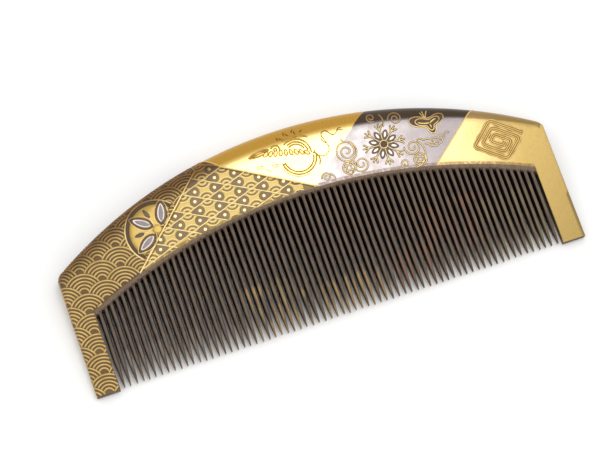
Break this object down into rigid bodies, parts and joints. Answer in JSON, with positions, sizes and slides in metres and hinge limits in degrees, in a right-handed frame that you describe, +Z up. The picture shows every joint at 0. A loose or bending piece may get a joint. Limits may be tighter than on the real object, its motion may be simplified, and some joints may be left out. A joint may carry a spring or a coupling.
{
  "type": "decorative hair comb",
  "caption": "Lacquered dress comb: a fine-toothed wooden hair comb with an arched spine, gold and silver coats and raised ornament, lying on its back",
  "frame": {"origin": "middle of the footprint on the surface the comb lies on", "axes": "+X along the comb's width, +Y from the tooth tips to the spine, +Z up out of the decorated front"},
  "size_m": [0.115, 0.0456, 0.0077],
  "materials": {
    "comb_blank": "dark oiled boxwood",
    "wave_panel_skin": "gold line work over brown lacquer",
    "lattice_panel_skin": "gold lattice over brown lacquer",
    "phoenix_panel_skin": "bright polished gold lacquer",
    "silver_panel_skin": "silver lacquer, dark at the spine",
    "plain_gold_panel_skin": "smooth gold lacquer",
    "medallion_ground": "built-up gold lacquer",
    "medallion_rim": "built-up gold lacquer",
    "medallion_heart": "built-up gold lacquer",
    "medallion_petal_upper": "silver-grey inlay",
    "medallion_petal_left": "silver-grey inlay",
    "medallion_petal_lower": "silver-grey inlay",
    "medallion_bud_upper": "dark lacquer",
    "medallion_bud_left": "dark lacquer",
    "bird_wing_bar": "built-up gold lacquer",
    "bird_plumage": "built-up gold lacquer",
    "bird_body": "built-up gold lacquer",
    "bird_tail_ring": "built-up gold lacquer",
    "bird_ribbon": "built-up gold lacquer",
    "frost_flower": "built-up gold lacquer",
    "butterfly_wings": "built-up gold lacquer",
    "butterfly_feelers": "built-up gold lacquer",
    "vine_scroll_upper": "built-up gold lacquer",
    "vine_scroll_lower": "built-up gold lacquer",
    "vine_scroll_right": "built-up gold lacquer",
    "vine_scroll_small": "built-up gold lacquer",
    "leaf_spray": "built-up gold lacquer",
    "ridge_scroll": "built-up gold lacquer",
    "square_spiral": "built-up gold lacquer"
  },
  "bodies": {
    "root": {"comb_blank": "comb_blank", "wave_panel_skin": "wave_panel_skin", "lattice_panel_skin": "lattice_panel_skin", "phoenix_panel_skin": "phoenix_panel_skin", "silver_panel_skin": "silver_panel_skin", "plain_gold_panel_skin": "plain_gold_panel_skin", "medallion_ground": "medallion_ground", "medallion_rim": "medallion_rim", "medallion_heart": "medallion_heart", "medallion_petal_upper": "medallion_petal_upper", "medallion_petal_left": "medallion_petal_left", "medallion_petal_lower": "medallion_petal_lower", "medallion_bud_upper": "medallion_bud_upper", "medallion_bud_left": "medallion_bud_left", "bird_wing_bar": "bird_wing_bar", "bird_plumage": "bird_plumage", "bird_body": "bird_body", "bird_tail_ring": "bird_tail_ring", "bird_ribbon": "bird_ribbon", "frost_flower": "frost_flower", "butterfly_wings": "butterfly_wings", "butterfly_feelers": "butterfly_feelers", "vine_scroll_upper": "vine_scroll_upper", "vine_scroll_lower": "vine_scroll_lower", "vine_scroll_right": "vine_scroll_right", "vine_scroll_small": "vine_scroll_small", "leaf_spray": "leaf_spray", "ridge_scroll": "ridge_scroll", "square_spiral": "square_spiral"}
  },
  "joints": []
}
